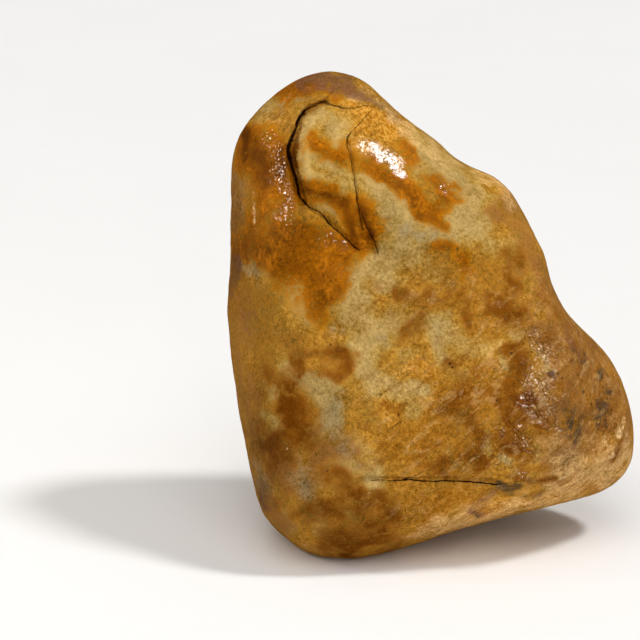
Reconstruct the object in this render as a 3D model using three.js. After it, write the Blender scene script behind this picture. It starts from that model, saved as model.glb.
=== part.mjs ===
// A water-worn jasper boulder: one solid stone that rests on a small flat of its own underside.
//
// Units are millimetres, +Z is up, +X is to the right of the broad face and +Y runs through the
// stone to its back. The origin is on the resting flat's plane, under the middle of the stone.
//
// The stone is first shaped upright in a frame of its own, in which the broad face looks along -Y and
// its outline lies in the XZ plane. It is then leaned back onto its resting flat.

import * as THREE from "three";
import { mergeVertices } from "three/addons/utils/BufferGeometryUtils.js";

const { clamp, degToRad, lerp, smoothstep } = THREE.MathUtils;

// Driving dimensions.
const LEAN_DEG = 16; // how far the broad face leans back
const HEART = new THREE.Vector3(-14, 0, 192); // the point that the facets are measured from
const FLAT_LEVEL = 14; // height of the resting flat's plane above the outline's lowest point, after leaning
const ROUNDNESS = 8; // exponent that blends neighbouring facets: lower is rounder
const MESH_DETAIL = 14; // subdivisions of the icosahedron that the surface starts from
const CRACK_EDGE = 3.4; // longest triangle edge in a crack
const EDGE_GROWTH = 0.75; // how fast that edge may grow with the distance from the crack
const CRACK_LIP = 1; // how far a crack's rounded lip reaches beyond half its width
const BROAD_SPAN = 14; // degrees either side over which the outline's bumps are averaged out
const BROAD_FIT = [0.1, 0.9]; // shares of the way to the rim between which the broad fit sets in
const CLOSE_FIT = [0.72, 1]; // shares of the way to the rim between which the close fit sets in
const SIDE_FADE = [0.05, 0.35]; // how squarely the surface looks to one side as its relief sets in

// The broad face's outline, clockwise from the peak.
const OUTLINE = [
  [-88, 440], [-63, 432], [-43, 414], [-22, 395], [2, 380], [23, 361], [46, 350], [62, 343], [79, 321],
  [93, 293], [102, 270], [106, 249], [117, 226], [140, 203], [159, 184], [174, 157], [182, 125], [184, 98],
  [180, 81], [167, 66], [144, 55], [99, 45], [45, 31], [-10, 15], [-42, 3], [-80, -3], [-107, 1],
  [-128, 16], [-150, 39], [-160, 71], [-166, 99], [-174, 143], [-181, 197], [-183, 222], [-181, 260],
  [-180, 323], [-180, 354], [-175, 378], [-160, 400], [-139, 420], [-117, 434],
];

// The worn faces of the stone: which way each looks, and how far it is from the heart.
// Azimuth 0 looks at the viewer, 90 to the right and 180 to the back. Elevation is above the horizon.
const FACETS = [
  { name: "broad face", azimuth: 2, elevation: 3, distance: 108 },
  { name: "right shoulder", azimuth: 32, elevation: 42, distance: 150 },
  { name: "right cheek", azimuth: 58, elevation: -8, distance: 152 },
  { name: "left flank", azimuth: -62, elevation: 8, distance: 150 },
  { name: "brow", azimuth: -12, elevation: 52, distance: 222 },
  { name: "chin", azimuth: 18, elevation: -50, distance: 164 },
  { name: "left side", azimuth: -95, elevation: 0, distance: 172 },
  { name: "upper left side", azimuth: -80, elevation: 42, distance: 250 },
  { name: "peak", azimuth: -120, elevation: 78, distance: 250 },
  { name: "upper right slope", azimuth: 95, elevation: 50, distance: 156 },
  { name: "right side", azimuth: 92, elevation: 20, distance: 142 },
  { name: "foot end", azimuth: 88, elevation: -12, distance: 190 },
  { name: "underside", azimuth: 130, elevation: -74, distance: 168 },
  { name: "lower left side", azimuth: -85, elevation: -40, distance: 202 },
  { name: "back", azimuth: 176, elevation: 14, distance: 122 },
  { name: "lower back", azimuth: 192, elevation: -24, distance: 138 },
  { name: "back right", azimuth: 130, elevation: 4, distance: 140 },
  { name: "back left", azimuth: -132, elevation: 6, distance: 142 },
  { name: "back slope", azimuth: 170, elevation: 50, distance: 176 },
];

// Where the surface stands proud of the worn faces (rise above 0) or is sunk into them (below 0).
// A path is drawn on the outline's plane, as [x, z], and the rise fades to nothing at its reach.
const RELIEF = [
  { name: "ridge over the cheek", side: "front", reach: 30, rise: 8,
    path: [[92, 206], [104, 178], [112, 146], [104, 112]] },
  { name: "trough beside the ridge", side: "front", reach: 38, rise: -5,
    path: [[74, 252], [62, 210], [68, 150], [66, 108]] },
  { name: "hollow of the cheek", side: "front", reach: 34, rise: -5, path: [[146, 168], [146, 116]] },
  { name: "rim of the foot", side: "front", reach: 15, rise: 5,
    path: [[62, 70], [112, 72], [138, 84], [160, 97], [172, 127]] },
  { name: "flank falling into the cleft", side: "front", reach: 22, rise: -5,
    path: [[-130, 392], [-142, 362], [-134, 330], [-122, 306]] },
  { name: "loose block's shoulder", side: "front", reach: 17, rise: 4.5,
    path: [[-98, 394], [-110, 376], [-110, 346], [-104, 326]] },
  { name: "loose block's sunken tip", side: "front", reach: 18, rise: -4,
    path: [[-84, 314], [-72, 288]] },
  { name: "rim right of the loose block", side: "front", reach: 12, rise: 2,
    path: [[-60, 330], [-58, 300]] },
  { name: "ledge under the long crack", side: "front", reach: 16, rise: -3,
    path: [[-40, 62], [10, 62], [60, 60], [100, 66]] },
  { name: "scar under the foot", side: "front", reach: 14, rise: -3, path: [[58, 58], [36, 44]] },
  { name: "dent in the right slope", side: "front", reach: 26, rise: -3, path: [[30, 322], [52, 300]] },
  { name: "hollow of the back", side: "back", reach: 60, rise: -6, path: [[-40, 250], [20, 190]] },
  { name: "shelf of the back", side: "back", reach: 26, rise: 5,
    path: [[-120, 150], [-50, 128], [40, 120]] },
  { name: "dent in the back of the peak", side: "back", reach: 36, rise: -4,
    path: [[-100, 370], [-70, 340]] },
];

// The cracks, drawn the same way. Each is open to its width at the surface and closes at its depth.
const CRACKS = [
  { name: "cleft", width: 9, depth: 17,
    path: [[-112, 397], [-119, 387], [-123, 373], [-128, 362], [-125, 353], [-122, 341], [-117, 322]] },
  { name: "cleft's upper end", width: 6, depth: 9, path: [[-95, 407], [-102, 403], [-112, 397]] },
  { name: "cleft's lower run", width: 4.5, depth: 8,
    path: [[-117, 322], [-107, 313], [-94, 303], [-85, 295], [-76, 286], [-69, 278]] },
  { name: "pocket at the block's tip", width: 11, depth: 8, path: [[-63, 294], [-57, 286], [-53, 277]] },
  { name: "crack right of the block", width: 4, depth: 5,
    path: [[-53, 397], [-66, 382], [-76, 372], [-74, 358], [-70, 335], [-67, 313], [-63, 294]] },
  { name: "crack over the block", width: 4, depth: 4,
    path: [[-95, 407], [-82, 403], [-62, 406], [-42, 403]] },
  { name: "long low crack", width: 4.5, depth: 7,
    path: [[-66, 76], [-20, 76], [20, 75], [58, 73]] },
];

function facing({ azimuth, elevation }) {
  const a = degToRad(azimuth);
  const e = degToRad(elevation);
  return new THREE.Vector3(Math.sin(a) * Math.cos(e), -Math.cos(a) * Math.cos(e), Math.sin(e));
}
const FACET_NORMALS = FACETS.map(facing);

// Distance from the heart to the surface where the facets blend into each other.
function facetRadius(direction) {
  let sum = 0;
  FACETS.forEach((facet, i) => {
    const towards = direction.dot(FACET_NORMALS[i]);
    if (towards > 0) sum += (towards / facet.distance) ** ROUNDNESS;
  });
  return sum ** (-1 / ROUNDNESS);
}

// Long, low waves left by wear, as a share of the radius.
function wear(direction) {
  const { x, y, z } = direction;
  return (
    0.014 * Math.sin(5.1 * x + 2.3 * y + 1.1) * Math.cos(4.3 * z - 2.2 * y) +
    0.009 * Math.sin(9.7 * z + 4.1 * x + 0.4) * Math.cos(8.3 * y + 3.1 * x) +
    0.004 * Math.sin(17 * x - 11 * z + 2.0) * Math.cos(15 * y + 9 * z)
  );
}

function wornPoint(direction) {
  return direction.clone().multiplyScalar(facetRadius(direction) * (1 + wear(direction)));
}

// Radius about the heart at each whole degree of a closed loop of [x, z] points.
const DEGREES = 360;
function radiusByDegree(points) {
  const polar = points.map(([x, z]) => ({ angle: Math.atan2(z, x), radius: Math.hypot(x, z) }));
  polar.sort((p, q) => p.angle - q.angle);
  const first = polar[0];
  const last = polar[polar.length - 1];
  const full = 2 * Math.PI;
  const ring = [{ ...last, angle: last.angle - full }, ...polar, { ...first, angle: first.angle + full }];
  let i = 0;
  return Array.from({ length: DEGREES + 1 }, (_, degree) => {
    const angle = degToRad(degree - 180);
    while (ring[i + 1].angle < angle) i += 1;
    const share = (angle - ring[i].angle) / (ring[i + 1].angle - ring[i].angle);
    return lerp(ring[i].radius, ring[i + 1].radius, share);
  });
}

function atAngle(table, angle) {
  const degree = THREE.MathUtils.radToDeg(angle) + 180;
  const low = Math.min(Math.floor(degree), DEGREES - 1);
  return lerp(table[low], table[low + 1], degree - low);
}

// The outline rounded off between its given points.
const STEPS_BETWEEN_POINTS = 24;
function outlineTable() {
  const loop = new THREE.CatmullRomCurve3(
    OUTLINE.map(([x, z]) => new THREE.Vector3(x - HEART.x, 0, z - HEART.z)), true, "centripetal");
  const points = loop.getPoints(OUTLINE.length * STEPS_BETWEEN_POINTS).slice(0, -1);
  return radiusByDegree(points.map((point) => [point.x, point.z]));
}

// How far the worn facets reach in each direction of the outline's plane, among directions that are
// tilted out of that plane by up to the widest tilt.
const WIDEST_TILT = 75;
const TILT_STEP = 1.5;
function facetTable() {
  const reach = [];
  for (let degree = 0; degree < DEGREES; degree += 1) {
    const angle = degToRad(degree - 180);
    let widest = 0;
    for (let tilt = -WIDEST_TILT; tilt <= WIDEST_TILT; tilt += TILT_STEP) {
      const t = degToRad(tilt);
      const direction = new THREE.Vector3(
        Math.cos(angle) * Math.cos(t), Math.sin(t), Math.sin(angle) * Math.cos(t));
      const point = wornPoint(direction);
      widest = Math.max(widest, Math.hypot(point.x, point.z));
    }
    reach.push([Math.cos(angle) * widest, Math.sin(angle) * widest]);
  }
  return radiusByDegree(reach);
}

// The same table with its short bumps averaged out over a span of degrees either side.
function broadened(table, span) {
  return table.map((_, degree) => {
    let sum = 0;
    for (let step = -span; step <= span; step += 1) sum += table[(degree + step + DEGREES) % DEGREES];
    return sum / (2 * span + 1);
  });
}

const WANTED = outlineTable();
const FOUND = facetTable();
const STRETCH = WANTED.map((wanted, degree) => wanted / FOUND[degree]);
const BROAD_STRETCH = broadened(broadened(STRETCH, BROAD_SPAN), BROAD_SPAN);

// Fits the worn facets to the outline: broadly over the faces, and in every bump at the rim.
function fitted(direction) {
  const point = wornPoint(direction);
  const angle = Math.atan2(point.z, point.x);
  const reach = Math.hypot(point.x, point.z) / atAngle(FOUND, angle);
  const broad = lerp(1, atAngle(BROAD_STRETCH, angle), smoothstep(reach, ...BROAD_FIT));
  const stretch = lerp(broad, atAngle(STRETCH, angle), smoothstep(reach, ...CLOSE_FIT));
  point.x *= stretch;
  point.z *= stretch;
  return point.add(HEART);
}

// Distance in the outline's plane from a point to a path of [x, z] points.
function distanceTo(path, point) {
  let nearest = Infinity;
  for (let i = 1; i < path.length; i += 1) {
    const [x0, z0] = path[i - 1];
    const [x1, z1] = path[i];
    const along = (point.x - x0) * (x1 - x0) + (point.z - z0) * (z1 - z0);
    const share = clamp(along / ((x1 - x0) ** 2 + (z1 - z0) ** 2), 0, 1);
    nearest = Math.min(nearest, Math.hypot(point.x - lerp(x0, x1, share), point.z - lerp(z0, z1, share)));
  }
  return nearest;
}

function reliefAt(point, direction) {
  let rise = 0;
  for (const form of RELIEF) {
    const away = form.side === "front" ? -direction.y : direction.y;
    if (away < SIDE_FADE[0]) continue;
    const near = 1 - smoothstep(distanceTo(form.path, point), 0, form.reach);
    rise += form.rise * near * smoothstep(away, ...SIDE_FADE);
  }
  return rise;
}

function crackDepthAt(point, direction) {
  if (direction.y > 0) return 0;
  return Math.max(...CRACKS.map(({ path, width, depth }) =>
    depth * Math.max(0, 1 - distanceTo(path, point) / (width / 2 + CRACK_LIP))));
}

// The surface of the stone in a direction from its heart.
function surfacePoint(direction) {
  const point = fitted(direction);
  const outwards = reliefAt(point, direction) - crackDepthAt(point, direction);
  return point.addScaledVector(direction, outwards);
}

// The surface before the cracks, as unit directions from the heart and the triangles between them.
const WELD_DISTANCE = 1e-5; // on a sphere of radius 1
function startSphere() {
  const ball = new THREE.IcosahedronGeometry(1, MESH_DETAIL);
  ball.deleteAttribute("normal");
  ball.deleteAttribute("uv");
  const merged = mergeVertices(ball, WELD_DISTANCE);
  const position = merged.getAttribute("position");
  const directions = Array.from({ length: position.count }, (_, i) =>
    new THREE.Vector3().fromBufferAttribute(position, i).normalize());
  const corners = Array.from(merged.index.array);
  const triangles = Array.from({ length: corners.length / 3 }, (_, i) => corners.slice(3 * i, 3 * i + 3));
  return { directions, triangles };
}

function edgeWantedAt(direction) {
  if (direction.y > 0) return Infinity;
  const point = fitted(direction);
  const nearest = Math.min(...CRACKS.map(({ path, width }) => distanceTo(path, point) - width / 2));
  return CRACK_EDGE + EDGE_GROWTH * Math.max(0, nearest);
}

// Splits each edge that is longer than wanted, with the triangles on both its sides, until none is left.
function refineAtCracks(surface) {
  const { directions } = surface;
  const points = directions.map(fitted);
  for (;;) {
    const middles = new Map();
    const middleOf = (a, b) => {
      const key = a < b ? `${a},${b}` : `${b},${a}`;
      if (!middles.has(key)) {
        const direction = directions[a].clone().add(directions[b]).normalize();
        const long = points[a].distanceTo(points[b]) > edgeWantedAt(direction);
        if (long) {
          directions.push(direction);
          points.push(fitted(direction));
        }
        middles.set(key, long ? directions.length - 1 : null);
      }
      return middles.get(key);
    };
    const before = directions.length;
    surface.triangles = surface.triangles.flatMap((corners) => splitTriangle(corners, middleOf));
    if (directions.length === before) return surface;
  }
}

// One triangle as the two to four that its split edges make of it.
function splitTriangle([a, b, c], middleOf) {
  const ab = middleOf(a, b);
  const bc = middleOf(b, c);
  const ca = middleOf(c, a);
  const cuts = [ab, bc, ca].filter((middle) => middle !== null).length;
  if (cuts === 0) return [[a, b, c]];
  if (cuts === 3) return [[a, ab, ca], [ab, b, bc], [ca, bc, c], [ab, bc, ca]];
  if (cuts === 1) {
    if (ab !== null) return [[a, ab, c], [ab, b, c]];
    if (bc !== null) return [[b, bc, a], [bc, c, a]];
    return [[c, ca, b], [ca, a, b]];
  }
  if (ca === null) return [[ab, b, bc], [a, ab, bc], [a, bc, c]];
  if (ab === null) return [[bc, c, ca], [b, bc, ca], [b, ca, a]];
  return [[ca, a, ab], [c, ca, ab], [c, ab, b]];
}

function stoneGeometry() {
  const { directions, triangles } = refineAtCracks(startSphere());
  const lean = new THREE.Matrix4().makeRotationX(degToRad(-LEAN_DEG));
  const points = directions.map((direction) => {
    const point = surfacePoint(direction).applyMatrix4(lean);
    point.z = Math.max(0, point.z - FLAT_LEVEL);
    return point;
  });
  const geometry = new THREE.BufferGeometry().setFromPoints(points).setIndex(triangles.flat());
  geometry.computeBoundingBox();
  geometry.computeVertexNormals();
  return geometry;
}

const jasper = new THREE.MeshStandardMaterial({ color: 0xb08237, roughness: 0.45, metalness: 0 });

const boulder = new THREE.Mesh(stoneGeometry(), jasper);
boulder.name = "boulder";
const middle = boulder.geometry.boundingBox.getCenter(new THREE.Vector3());
boulder.position.set(-middle.x, -middle.y, 0);

const stone = new THREE.Group();
stone.add(boulder);

export default stone;
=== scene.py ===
"""A water-worn jasper boulder, wet and mottled, on a plain pale floor.

The stone's finished surface is a finer copy of its solid. Its cleft is carved deeper, low forms and small
lumps are raised on it, and its pits are pressed in. Its stains are painted as strokes and broken up by
the material's noise. The same strokes paint shade into its cracks, pits and cleft, and light, highlights
and sheen onto some faces and edges. A film of water covers the places that shine.
Lengths are metres. Strokes, lines and pits are placed by pixels of a 640 by 640 picture.
"""

import math

import bpy
import numpy as np
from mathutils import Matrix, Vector, noise


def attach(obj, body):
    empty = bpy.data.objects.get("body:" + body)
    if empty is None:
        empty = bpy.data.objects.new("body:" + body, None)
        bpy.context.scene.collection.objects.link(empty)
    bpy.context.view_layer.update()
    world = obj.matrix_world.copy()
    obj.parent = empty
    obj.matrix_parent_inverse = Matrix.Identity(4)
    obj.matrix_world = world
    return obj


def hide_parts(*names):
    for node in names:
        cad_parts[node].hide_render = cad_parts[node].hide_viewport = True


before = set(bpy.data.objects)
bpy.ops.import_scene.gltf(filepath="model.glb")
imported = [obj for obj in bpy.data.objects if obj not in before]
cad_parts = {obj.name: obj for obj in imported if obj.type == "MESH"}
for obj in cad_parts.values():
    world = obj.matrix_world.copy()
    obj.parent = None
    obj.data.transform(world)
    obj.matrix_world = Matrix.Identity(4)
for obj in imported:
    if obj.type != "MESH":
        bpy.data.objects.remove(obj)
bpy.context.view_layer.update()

MM = 0.001

# The camera looks square at the stone's broad face, which leans back.
PICTURE_PIXELS = 640
ELEVATION = math.radians(16)
CAMERA_DISTANCE = 2.5
PIXEL_AT_AIM = 0.9 * MM  # what a pixel covers at the aim point's distance
AIM = Vector((-0.0999, 0.0127, 0.1923))
SENSOR_MM = 36
LENS_MM = SENSOR_MM * CAMERA_DISTANCE / (PICTURE_PIXELS * PIXEL_AT_AIM)
VIEW = Vector((0, math.cos(ELEVATION), -math.sin(ELEVATION)))
UP = Vector((0, math.sin(ELEVATION), math.cos(ELEVATION)))
CAMERA_PLACE = AIM - VIEW * CAMERA_DISTANCE

# The cleft that is carved, as (x, y, width) in pixels from its top downwards.
CLEFT = [
    (326, 102, 2), (318, 105, 4), (310, 108, 5), (304, 114, 6), (299, 122, 7), (296, 131, 8),
    (293, 140, 9), (292, 150, 11), (293, 160, 10), (295, 170, 8), (297, 180, 6), (299, 190, 4.5),
    (300, 199, 2.5),
]
CLEFT_DEPTH = 3 * MM
CARVE_SOFTNESS = 0.6  # pixels by which the carving is wider than its path on each side

# The dark lines, painted shade inside the cracks, as (x, y, width) in pixels.
LINE_DOWN_THE_CLEFT = [
    (316, 106.5, 0.8), (309, 107.5, 1.2), (303.6, 111.5, 2.4), (299.6, 118, 3), (296.8, 124, 2.6),
    (295.4, 130, 2.6), (293, 136, 3.2), (290.4, 141, 4), (288.6, 147, 5), (288.6, 152, 5.4),
    (290, 158, 4.4), (291.4, 165, 3.2),
    (293.6, 172, 3), (296, 179, 2.8), (298, 186, 2.6), (299.4, 194, 2.6), (301, 198, 2), (305, 202.5, 1.8),
    (309, 207, 1.2), (314.5, 209.5, 0.6), (320, 212.5, 1), (324.5, 217.5, 1.4), (328.5, 222.5, 1.8),
    (334, 228, 1.2), (340, 233, 1), (347, 239.5, 1.1), (353, 245.5, 1.3), (359.5, 251, 0.6),
]
NOTCH_OVER_BLOCK = [(319, 101, 1), (323.5, 102, 4), (327, 103.8, 3), (334, 105.6, 1.4), (341, 107.6, 1.8),
                    (347, 108.6, 1.2), (356, 107.6, 0.8), (368, 105, 0.6)]
LINE_ABOVE_NOTCH = [(322, 101, 1.4), (327, 97, 1), (333, 92, 0.8)]
LINE_RIGHT_OF_BLOCK = [
    (372, 110, 0.5), (366, 116, 0.8), (359.5, 123.5, 0.8), (352, 131, 0.8), (347.4, 138.6, 1.8),
    (347, 145, 1.2), (349, 152, 0.9), (351, 162, 0.9), (353.8, 177, 1), (356, 191, 1.1), (357, 200, 1.4),
    (359, 211, 1.5), (361, 222, 1.8), (362.6, 230, 1.2),
]
LINE_OF_THE_POCKET = [(362, 214, 1), (365.6, 224, 1.8), (369.8, 233.6, 2.2), (374, 240, 1.8),
                      (376.6, 248, 1.2), (378.6, 256, 0.6)]
LONG_LINE = [
    (372, 480.2, 0.4), (388, 480.4, 0.5), (402, 480, 0.9), (412, 479.8, 1.3), (424, 481.2, 1.4),
    (440, 481, 1.4), (452, 480.8, 1.2), (466, 481.4, 1.4), (480, 482.8, 1.6), (494, 484, 1.5),
    (501, 484, 0.8),
]
LONG_LINE_BRANCH = [(402, 479.5, 1), (412, 477.4, 1), (422, 472.5, 1), (430, 470, 0.9), (438, 464, 0.7)]
HAIRLINE_IN_THE_FACE = [(390, 429, 0.8), (396, 424.5, 1.6), (402, 421, 1.2), (409, 418.6, 0.7)]
FAINT_LEDGE = [(505, 483, 0.8), (522, 481, 0.8), (545, 480.5, 0.9), (560, 477, 0.7), (570, 473, 0.6)]
# Each line with how dark it is.
LINES = [
    (LINE_DOWN_THE_CLEFT, 0.9), (NOTCH_OVER_BLOCK, 0.6), (LINE_ABOVE_NOTCH, 0.5),
    (LINE_RIGHT_OF_BLOCK, 0.6), (LINE_OF_THE_POCKET, 0.6), (LONG_LINE, 0.85), (LONG_LINE_BRANCH, 0.4),
    (HAIRLINE_IN_THE_FACE, 0.45), (FAINT_LEDGE, 0.4),
]
LINE_WANDER = 0.7  # how far, in pixels, a line strays from its path
LINE_REACH = 7  # half widths on either side of a line within which its place is kept
CRACK_REACH = 24  # pixels on either side of a crack's path within which it strays

# Low forms as (path, radius, height in metres), most beside a crack. Below 0 they are sunk.
LOW_FORMS = [
    ([(322, 116), (312, 128), (308, 146), (309, 168), (313, 186)], 12, 1.6 * MM),  # the block's rounded edge
    ([(305, 113), (299, 124), (295, 138), (294, 154), (297, 172), (301, 190)], 12, -2.4 * MM),  # its lip
    ([(279, 130), (277, 160), (284, 190)], 14, -2 * MM),  # the flank's fall into the cleft
    ([(345, 226), (356, 242)], 9, -2.4 * MM),  # the block's sunken tip
    ([(371, 222), (378, 240)], 7, 1.6 * MM),  # the pocket's outer rim
    ([(470, 510), (484, 499), (498, 487)], 6, -1.6 * MM),  # the scar under the long crack
    ([(480, 517), (505, 508), (540, 502)], 5, 1.0 * MM),
    ([(564, 388), (565, 405), (566, 420), (562, 440)], 3.5, 1.2 * MM),  # the fine ridge on the cheek
    ([(500, 483), (545, 481), (566, 475), (590, 464), (610, 457), (620, 436), (625, 416)], 4.5, 1.4 * MM),
    ([(505, 488), (548, 486), (572, 481), (596, 470), (615, 463)], 5, -1.2 * MM),
    ([(553, 372), (575, 362)], 7, -1.0 * MM),
    ([(528, 380), (545, 372), (556, 360)], 6, 1.0 * MM),
    ([(530, 398), (545, 392)], 6, 1.2 * MM),
]

# Small pits as (x, y, radius) in pixels.
PITS = [(584, 392, 2.6), (601, 376, 1.7), (588, 366, 1.2), (562, 379, 1.3), (573, 361, 1.2), (598, 372, 1.3),
        (592, 404, 1.4), (604, 421, 1.4), (449, 364, 1.8), (398, 415, 1.3), (594, 446, 1.3), (497, 401, 1.1),
        (572, 350, 1.1), (578, 374, 1.1), (606, 398, 1.2), (586, 416, 1), (611, 409, 1), (608, 384, 1.1),
        (566, 366, 1), (600, 364, 1), (595, 386, 1), (452, 368, 1.2), (610, 430, 1), (581, 436, 1.1)]
PIT_DEPTH = 1.6 * MM
PIT_REACH = 1.4  # pixels beyond a pit's radius within which the surface sinks

LUMPS = [(34 * MM, 1.6 * MM), (11 * MM, 0.7 * MM)]  # the size and height of the stone's low lumps
RIM_FADE = (0.02, 0.25)  # how squarely the surface looks at the camera where strokes set in and are full


def project(points):
    """The picture's pixel that each point lies on."""
    offset = points - np.array(CAMERA_PLACE)
    depth = offset @ np.array(VIEW)
    scale = LENS_MM / SENSOR_MM * PICTURE_PIXELS / depth
    across = PICTURE_PIXELS / 2 + offset[:, 0] * scale
    down = PICTURE_PIXELS / 2 - (offset @ np.array(UP)) * scale
    return np.stack([across, down], axis=1)


def smooth(values, low, high):
    """0 below low, 1 above high and an S-curve between them."""
    share = np.clip((values - low) / (high - low), 0, 1)
    return share * share * (3 - 2 * share)


def noise_at(points, size, seed):
    """Smooth noise from -1 to 1 whose lumps are about size metres across."""
    shift = Vector((seed * 7.3, seed * 3.1, seed * 5.7))
    return np.array([noise.noise(Vector(point) / size + shift) for point in points])


def along_path(pixels, path):
    """Each pixel's distance to a path, less than 0 on one side, and the path's width there if it has one."""
    nearest = np.full(len(pixels), np.inf)
    side = np.ones(len(pixels))
    width = np.zeros(len(pixels))
    points = np.array(path, float)
    if len(points) == 1:
        return np.hypot(*(pixels - points[0, :2]).T), width
    for start, end in zip(points[:-1], points[1:]):
        step = end[:2] - start[:2]
        offset = pixels - start[:2]
        share = np.clip(offset @ step / (step @ step), 0, 1)
        distance = np.hypot(*(offset - share[:, None] * step).T)
        closer = distance < nearest
        nearest[closer] = distance[closer]
        side[closer] = np.where(offset @ (-step[1], step[0]) < 0, -1, 1)[closer]
        if len(start) > 2:
            width[closer] = (start[2] + share * (end[2] - start[2]))[closer]
    return nearest * side, width


def distance_to(pixels, path):
    return np.abs(along_path(pixels, path)[0])


def deselect_all():
    if bpy.context.object and bpy.context.object.mode != "OBJECT":
        bpy.ops.object.mode_set(mode="OBJECT")
    bpy.ops.object.select_all(action="DESELECT")


def activate(piece):
    deselect_all()
    piece.select_set(True)
    bpy.context.view_layer.objects.active = piece


def apply_modifier(piece, kind, **settings):
    activate(piece)
    modifier = piece.modifiers.new(kind.lower(), kind)
    for name, value in settings.items():
        setattr(modifier, name, value)
    bpy.ops.object.modifier_apply(modifier=modifier.name)


def places(piece):
    flat = np.empty(len(piece.data.vertices) * 3, np.float32)
    piece.data.vertices.foreach_get("co", flat)
    return flat.reshape(-1, 3).astype(float)


def normals(piece):
    flat = np.empty(len(piece.data.vertices) * 3, np.float32)
    piece.data.vertices.foreach_get("normal", flat)
    return flat.reshape(-1, 3).astype(float)


def towards_viewer(piece):
    """How far each vertex faces the camera, from 0 at the rim to 1 on the broad face."""
    facing = normals(piece) @ -np.array(VIEW)
    return smooth(facing, *RIM_FADE)


def displace(piece, weights, height, direction="NORMAL"):
    """Moves the surface by height where the weights are 1, and less where they are less."""
    group = piece.vertex_groups.new(name="form")
    for index in np.flatnonzero(weights > 0.002):
        group.add([int(index)], float(weights[index]), "REPLACE")
    apply_modifier(piece, "DISPLACE", strength=height, mid_level=0, direction=direction,
                   vertex_group=group.name)
    piece.vertex_groups.remove(piece.vertex_groups[0])


def raise_lumps(piece, size, height):
    texture = bpy.data.textures.new("lumps", "CLOUDS")
    texture.noise_scale = size
    texture.noise_depth = 2
    apply_modifier(piece, "DISPLACE", texture=texture, texture_coords="LOCAL", strength=height)
    bpy.data.textures.remove(texture)


def fine_copy(node):
    """The node's solid as one joined mesh with a finer, rounded surface."""
    piece = bpy.data.objects.new("stone_surface", node.data.copy())
    bpy.context.scene.collection.objects.link(piece)
    piece.data.materials.clear()
    activate(piece)
    bpy.ops.object.mode_set(mode="EDIT")
    bpy.ops.mesh.select_all(action="SELECT")
    bpy.ops.mesh.remove_doubles(threshold=0.01 * MM)
    bpy.ops.object.mode_set(mode="OBJECT")
    apply_modifier(piece, "SUBSURF", levels=2, render_levels=2)
    return piece


def beside_crack(points, path):
    """Each point's distance in pixels to a crack whose path strays a little, and the crack's width."""
    pixels = project(points)
    near = distance_to(pixels, path) < CRACK_REACH
    for axis in (0, 1):
        pixels[near, axis] += LINE_WANDER * noise_at(points[near], 7 * MM, 5 + axis)
        pixels[near, axis] += LINE_WANDER * 0.5 * noise_at(points[near], 2.5 * MM, 8 + axis)
    return along_path(pixels, path)


def carve_cleft(piece):
    distance, width = beside_crack(places(piece), CLEFT)
    weights = np.clip(1.15 - np.abs(distance) / (width / 2 + CARVE_SOFTNESS), 0, 1)
    displace(piece, weights * towards_viewer(piece), CLEFT_DEPTH, "Y")


def shape_low_forms(piece):
    for path, radius, height in LOW_FORMS:
        weights = (1 - smooth(distance_to(project(places(piece)), path), 0, radius)) * towards_viewer(piece)
        displace(piece, weights, height)


def press_pits(piece):
    pixels = project(places(piece))
    facing = towards_viewer(piece)
    weights = np.zeros(len(pixels))
    for x, y, radius in PITS:
        distance = distance_to(pixels, [(x, y)])
        weights = np.maximum(weights, (1 - smooth(distance, 0, radius + PIT_REACH)) * facing)
    displace(piece, weights, -PIT_DEPTH)


def flatten_onto_floor(piece):
    low = places(piece)[:, 2] < 0.2 * MM
    activate(piece)
    bpy.ops.object.mode_set(mode="EDIT")
    bpy.ops.mesh.select_mode(type="VERT")
    bpy.ops.mesh.select_all(action="DESELECT")
    bpy.ops.object.mode_set(mode="OBJECT")
    piece.data.vertices.foreach_set("select", low)
    bpy.ops.object.mode_set(mode="EDIT")
    bpy.ops.transform.resize(value=(1, 1, 0), center_override=(0, 0, 0))
    bpy.ops.object.mode_set(mode="OBJECT")


def make_stone():
    piece = fine_copy(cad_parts["boulder"])
    shape_low_forms(piece)
    carve_cleft(piece)
    for size, height in LUMPS:
        raise_lumps(piece, size, height)
    press_pits(piece)
    flatten_onto_floor(piece)
    activate(piece)
    bpy.ops.object.shade_smooth()
    return piece
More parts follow.
